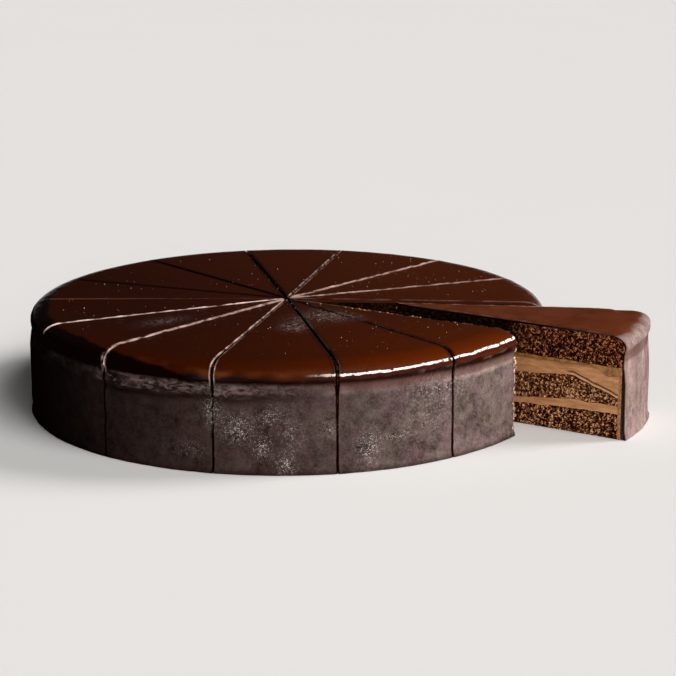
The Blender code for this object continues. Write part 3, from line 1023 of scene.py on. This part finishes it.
def make_glaze_finish():
    """Dark glossy glaze on top, dulled down the side by a grey-mauve bloom with powdery patches, with some
    light and shade painted into its colour.
    """
    glaze = Finish("dark_chocolate_glaze")
    cloud = glaze.noise(glaze.place, 38 * MM, 2.0)
    mottle = glaze.noise(glaze.place, 4.5 * MM, 4.0, 0.6)
    fine = glaze.noise(glaze.place, 1.1 * MM, 3.0, 0.7)
    creased = glaze.vector("MULTIPLY", glaze.place, (1.0, 1.0, 2.3))
    strokes = glaze.noise(creased, 8.0 * MM, 3.0, 0.6, 1.3)
    dull, pale = glaze.attribute("dull"), glaze.attribute("pale")

    skin = joined_skin(glaze, top_colour(glaze, cloud), side_colour(glaze, mottle, fine, strokes))
    skin = powdered(glaze, skin)
    # the cut lips' pale: scraped glaze with a painted highlight
    chipped_and_highlit = (pale * (0.1 + 1.7 * glaze.noise(glaze.place, 0.9 * MM, 2.0))).lower(1.0)
    skin = crest_highlight(glaze, glaze.mix(chipped_and_highlit, skin, colour(232, 196, 184)), fine)
    cut_face = glaze.mix(glaze.attribute("open_edge"), colour(14, 4, 2), colour(72, 31, 19))
    skin = glaze.mix(glaze.attribute("skin").step(0.98, 0.8), skin, cut_face)

    roughness = (0.16 + 0.25 * dull + 0.25 * pale + 0.06 * cloud).lower(0.7)
    relief = glaze.bumps(glaze.noise(glaze.place, 9 * MM, 2.0), 0.25 * MM)
    relief = glaze.bumps(strokes * glaze.attribute("fold"), 1.6 * MM, under=relief)
    relief = glaze.bumps((mottle * 0.6 + fine * 0.4) * (0.3 + 0.7 * dull), 0.6 * MM, 0.9, under=relief)
    glaze.finish(Base_Color=skin, Roughness=roughness, Normal=relief, IOR=1.46)
    matte = {"Base Color": skin, "Roughness": 0.75, "Specular IOR Level": 0.0, "Normal": relief}
    return glaze.blend((dull * 1.05).lower(1.0), glaze.node("ShaderNodeBsdfPrincipled", None, **matte)[0])


def make_sponge_finish(name, dark, middle, light, shaded=False):
    """Open crumb: dark pores, a middle tone, and lighter crumbs. When shaded, it has painted shadow where the
    slot was cut.
    """
    sponge = Finish(name)
    broad = sponge.noise(sponge.place, 7 * MM, 2.0)
    crumb = sponge.noise(sponge.place, 1.45 * MM, 3.0, 0.65)
    fine = sponge.noise(sponge.place, 0.62 * MM, 2.0, 0.6)
    pores = sponge.cells(sponge.place, 1.9 * MM).step(0.45, 0.15)
    tone = 0.5 + (crumb - 0.5) * 1.5 + (fine - 0.5) * 1.1 + (broad - 0.5) * 0.3
    shade = sponge.mix(tone.step(0.38, 0.52), dark, middle)
    shade = sponge.mix(tone.step(0.57, 0.70), shade, light)
    shade = sponge.mix((pores * 0.8).higher(broad.step(0.62, 0.7) * 0.8), shade, dark)
    if shaded:
        # painted shadow: the cut face darkens deep in the slot, where little light reaches
        faces_front = sponge.parts(sponge.attribute_vector("outward"))[1].step(-0.2, -0.6)
        slot = sponge.parts(sponge.place)[0].step(0.094, 0.08) * faces_front
        shade = sponge.mix(slot * 0.92, shade, colour(8, 2, 1))
    relief = sponge.bumps(crumb + fine * 0.5, 1.2 * MM)
    return sponge.finish(Base_Color=shade, Roughness=0.9, Normal=relief, Specular_IOR_Level=0.08)


def make_cream_finish():
    """A light chocolate cream, dragged into smears by the knife."""
    cream = Finish("chocolate_cream")
    dragged = cream.vector("MULTIPLY", cream.place, (0.3, 0.3, 1.6))
    smear = cream.noise(dragged, 3.0 * MM, 4.0, 0.6, 0.4)
    fine = cream.noise(cream.place, 1.0 * MM, 3.0)
    shade = cream.mix(smear.step(0.25, 0.75), colour(168, 114, 71), colour(208, 152, 102))
    shade = cream.mix(fine.step(0.6, 0.8) * 0.5, shade, colour(112, 70, 42))
    z = cream.parts(cream.place)[2]
    reach = cream.attribute("reach")
    stain = (z + 1.6 * MM * cream.noise(cream.place, 5 * MM, 3.0)).step(33.2 * MM, 34.8 * MM)
    shade = cream.mix(stain * 0.7 * reach.step(126 * MM, 124 * MM), shade, colour(126, 84, 40))
    low = cream.attribute("low") + 0.4 * MM * (cream.noise(cream.place, 3 * MM) - 0.5)
    sloping = reach.step(97 * MM, 101 * MM) * z.step(15 * MM, 18.5 * MM)
    # painted shade: a dark line in the crease along the sloping top, with a paler line beside it
    crease_shade = abs(low - 1.6 * MM).step(0.65 * MM, 0.25 * MM) * sloping
    ledge = abs(low - 0.6 * MM).step(0.6 * MM, 0.3 * MM) * sloping
    shade = cream.mix(ledge * 0.4, shade, colour(226, 172, 122))
    shade = cream.mix(crease_shade * 0.9, shade, colour(48, 20, 10))
    coat = reach.step(125.8 * MM, 126.4 * MM)
    shade = cream.mix(coat * 0.75 * fine.step(0.3, 0.6), shade, colour(112, 64, 34))
    relief = cream.bumps(smear * 0.7 + fine * 0.3, 0.5 * MM)
    return cream.finish(Base_Color=shade, Roughness=0.55, Normal=relief, IOR=1.45)


def make_jam_finish():
    """A wet, olive-brown fruit jam that has soaked into the sponge above it."""
    jam = Finish("apricot_jam")
    lumps = jam.noise(jam.place, 4.0 * MM, 3.0)
    shade = jam.mix(lumps.step(0.35, 0.65), colour(126, 82, 36), colour(166, 116, 56))
    relief = jam.bumps(lumps, 0.6 * MM)
    return jam.finish(Base_Color=shade, Roughness=0.3, Normal=relief, IOR=1.45)


def make_crumb_finish(name, low, high, roughness):
    crumb = Finish(name)
    tone = crumb.noise(crumb.place, 1.5 * MM, 2.0)
    relief = crumb.bumps(crumb.noise(crumb.place, 0.4 * MM, 2.0), 0.2 * MM)
    shade = crumb.mix(tone.step(0.35, 0.65), low, high)
    return crumb.finish(Base_Color=shade, Roughness=roughness, Normal=relief)


# ---- building the cake ----------------------------------------------------------------------------------

plans = {name: Plan(name) for name in (*CLOSED_SLICES, *OPEN_SLICES)}
AXIS = plans["slice_02"].centre
crumb_tool = make_crumb_tool()
skin_tool = make_skin_tool()

glaze_finish = make_glaze_finish()
chocolate_crumb = make_sponge_finish(
    "chocolate_sponge", colour(16, 1, 0), colour(74, 25, 8), colour(196, 126, 84), shaded=True)
damp_crumb = make_sponge_finish(
    "damp_chocolate_sponge", colour(18, 2, 0), colour(92, 40, 17), colour(240, 176, 128))
nut_crumb = make_sponge_finish(
    "nut_sponge", colour(32, 9, 2), colour(128, 74, 42), colour(226, 174, 128))
cream_finish = make_cream_finish()
jam_finish = make_jam_finish()

LAYER_LOOKS = {
    "bottom_sponge": ("chocolate_sponge", damp_crumb,
                      dict(Pores=1.9 * MM, Depth=0.9 * MM, Height=0.35 * MM)),
    "lower_cream": ("chocolate_cream", cream_finish,
                    dict(Pores=3.0 * MM, Depth=0.15 * MM, Height=0.15 * MM, Grain=2.0 * MM, Stretch=2.5)),
    "middle_sponge": ("nut_sponge", nut_crumb,
                      dict(Pores=1.6 * MM, Depth=0.7 * MM)),
    "upper_cream": ("chocolate_cream", cream_finish,
                    dict(Pores=3.5 * MM, Depth=0.15 * MM, Height=0.2 * MM, Grain=2.6 * MM, Stretch=2.5)),
    "jam": ("apricot_jam", jam_finish,
            dict(Pores=3.0 * MM, Depth=0.2 * MM, Height=0.2 * MM, Grain=1.8 * MM)),
    "top_sponge": ("chocolate_sponge", chocolate_crumb,
                   dict(Pores=1.7 * MM, Depth=0.8 * MM, Height=0.3 * MM)),
}

for name, plan in plans.items():
    replaced = f"{name}_glaze" if name in OPEN_SLICES else name
    skin = add_piece(f"{name}_glaze_skin", glaze_mesh(plan), (replaced,))
    skin_tool.shape(skin, glaze_finish)

for name in OPEN_SLICES:
    grain = (0.42 if name == "drawn_slice" else 0.7) * MM
    for layer, (slot, finish, sizes) in LAYER_LOOKS.items():
        mesh = layer_mesh(plans[name], layer, grain, 10)
        piece = add_piece(f"{name}_{layer}_crumb", mesh, (f"{name}_{layer}",))
        crumb_tool.shape(piece, finish, **sizes)

for layer, (slot, finish, sizes) in LAYER_LOOKS.items():
    wedges = [layer_mesh(plans[name], layer, 2.5 * MM, 6) for name in CLOSED_SLICES]
    piece = add_piece(f"closed_slices_{layer}", joined_mesh(layer, wedges))
    crumb_tool.shape(piece, finish, Pores=6 * MM, Depth=0.0, Grain=4 * MM, Height=0.1 * MM)


# ---- crumbs ---------------------------------------------------------------------------------------------


def sheet_mesh(name, points, thick):
    """A sheet of points[i, j] that says how thickly crumbs lie on it, in crumbs a square metre."""
    ids = np.arange(points[..., 0].size).reshape(points.shape[:2])
    quads = np.stack((ids[:-1, :-1], ids[1:, :-1], ids[1:, 1:], ids[:-1, 1:]), axis=-1).reshape(-1, 4)
    mesh = bpy.data.meshes.new(name)
    mesh.from_pydata(points.reshape(-1, 3), [], quads)
    held = mesh.attributes.new("thick", "FLOAT", "POINT")
    held.data.foreach_set("value", np.broadcast_to(thick, ids.shape).astype(np.float32).ravel())
    return mesh


def speck_sheet():
    """A sheet over the flat top. Specks lie thicker to the right, and thickest by the back of the slot."""
    radius, bearing = np.meshgrid(np.linspace(6, 117, 30) * MM, np.linspace(4, 325, 90), indexing="ij")
    turned = np.radians(bearing)
    height = np.full_like(radius, TOP_LEVEL - TOP_SINK - 0.05 * MM)
    points = np.stack((AXIS[0] + radius * np.cos(turned), AXIS[1] + radius * np.sin(turned), height), axis=-1)
    thick = 5000 + 6000 * (np.cos(np.radians(bearing + 10)) > 0.4)
    thick = thick + 5e4 * near(radius, 112 * MM, 9 * MM) * near(bearing, 9.0, 5.0)
    return sheet_mesh("speck_sheet", points, thick)


def edge_sheet(name, plan, radius, height, width, thick):
    """A strip along a slice's far cut edge, at these distances from the axis and these heights."""
    radius, height, thick = radius[:, None], height[:, None], thick[:, None]
    angle = plan.edges(radius)[1] - np.linspace(0.0, width, 5) / radius
    return sheet_mesh(name, plan.points(radius, angle, height), thick)


pale_sugar = make_crumb_finish("sugar_specks", colour(150, 105, 92), colour(225, 200, 190), 0.6)
loose_crumbs = make_crumb_finish("loose_crumbs", colour(90, 38, 14), colour(224, 140, 84), 0.7)
# painted highlight: the pale crumb colour stands in for glints along the torn edge
wet_crumbs = make_crumb_finish("wet_crumbs", colour(92, 44, 26), colour(250, 214, 186), 0.35)

specks = add_piece("sugar_specks", speck_sheet())
speck_tool = make_scatter_tool("Sugar specks", 7)
speck_tool.shape(specks, pale_sugar, Smallest=0.2, Largest=0.6, Sink=0.05 * MM)

along = np.linspace(16, 116, 60) * MM
sheet = edge_sheet("slot_edge", plans["slice_13"], along, np.full_like(along, TOP_LEVEL - 1.1 * MM), 2.2 * MM,
                   4.0e5 + 2.6e6 * near(along, 40 * MM, 11 * MM))
slot_crumbs = add_piece("slot_edge_crumbs", sheet)
slot_tool = make_scatter_tool("Loose crumbs", 31)
slot_tool.shape(slot_crumbs, loose_crumbs, Smallest=0.4, Largest=2.0, Sink=0.15 * MM)

up = np.linspace(1.0, 44.0, 40) * MM
sheet = edge_sheet("torn_edge", plans["slice_13"], side_radius(up, 0.5 * MM), up, 2.4 * MM,
                   3.5e5 + 1.5e6 * near(up, 34 * MM, 6 * MM))
torn_crumbs = add_piece("torn_edge_crumbs", sheet)
torn_tool = make_scatter_tool("Torn edge crumbs", 57)
torn_tool.shape(torn_crumbs, wet_crumbs, Smallest=0.5, Largest=2.2, Sink=0.1 * MM)


# ---- camera, lights and floor --------------------------------------------------------------------------


def add_light(name, direction, strength, spread, tint, glossy=True):
    """A distant soft light from a direction, whose disc is spread degrees across. Gloss can leave it out."""
    lamp = bpy.data.lights.new(name, "SUN")
    lamp.energy = strength
    lamp.angle = math.radians(spread)
    lamp.color = tint
    light = bpy.data.objects.new(name, lamp)
    bpy.context.scene.collection.objects.link(light)
    away = Vector(direction).normalized()
    light.location = Vector((AXIS[0], AXIS[1], 0.03)) + away
    light.rotation_euler = away.to_track_quat("Z", "Y").to_euler()
    light.visible_glossy = glossy


add_light("side_light", (0.84, 0.14, 0.52), 2.1, 22.0, (1.0, 0.97, 0.94), False)
add_light("key_light", (0.50, -0.52, 0.70), 2.0, 34.0, (1.0, 0.98, 0.95))
add_light("fill_light", (0.20, -0.95, 0.24), 1.1, 30.0, (1.0, 0.98, 0.96), False)

world = bpy.data.worlds.new("studio")
world.use_nodes = True
bpy.context.scene.world = world
sky = Tree(world.node_tree)
sideways, ahead, up = sky.parts(sky.node("ShaderNodeTexCoord")[0])
backdrop = world.node_tree.nodes["Background"]
glow = 0.008 + 0.42 * (ahead - 0.7 * sideways).step(0.2, -0.8) * up.step(0.75, 0.35)
world.node_tree.links.new(glow.socket, backdrop.inputs["Strength"])
backdrop.inputs["Color"].default_value = (1.0, 0.93, 0.86, 1.0)

floor_mesh = bpy.data.meshes.new("floor")
floor_mesh.from_pydata([(-6, -3, 0), (6, -3, 0), (6, 9, 0), (-6, 9, 0)], [], [(0, 1, 2, 3)])
floor_finish = Finish("pale_floor")
floor_tone = floor_finish.noise(floor_finish.place, 0.4, 2.0)
floor_mesh.materials.append(floor_finish.finish(
    Base_Color=floor_finish.mix(floor_tone, (0.86, 0.86, 0.86, 1.0), (0.88, 0.88, 0.88, 1.0)), Roughness=0.9))
floor = bpy.data.objects.new("floor", floor_mesh)
bpy.context.scene.collection.objects.link(floor)
floor.location.z = -0.0002

lens = bpy.data.cameras.new("camera")
lens.lens = 109.8
lens.sensor_width = 36.0
camera = bpy.data.objects.new("camera", lens)
bpy.context.scene.collection.objects.link(camera)
camera.matrix_world = (Matrix.Translation((AXIS[0], AXIS[1] - 1.024, 0.2917))
                       @ Matrix.Rotation(math.radians(-1.442), 4, "Z")
                       @ Matrix.Rotation(math.radians(90.0 - 14.272), 4, "X")
                       @ Matrix.Rotation(math.radians(-0.13), 4, "Z"))
bpy.context.scene.camera = camera
bpy.context.scene.view_settings.view_transform = "Standard"
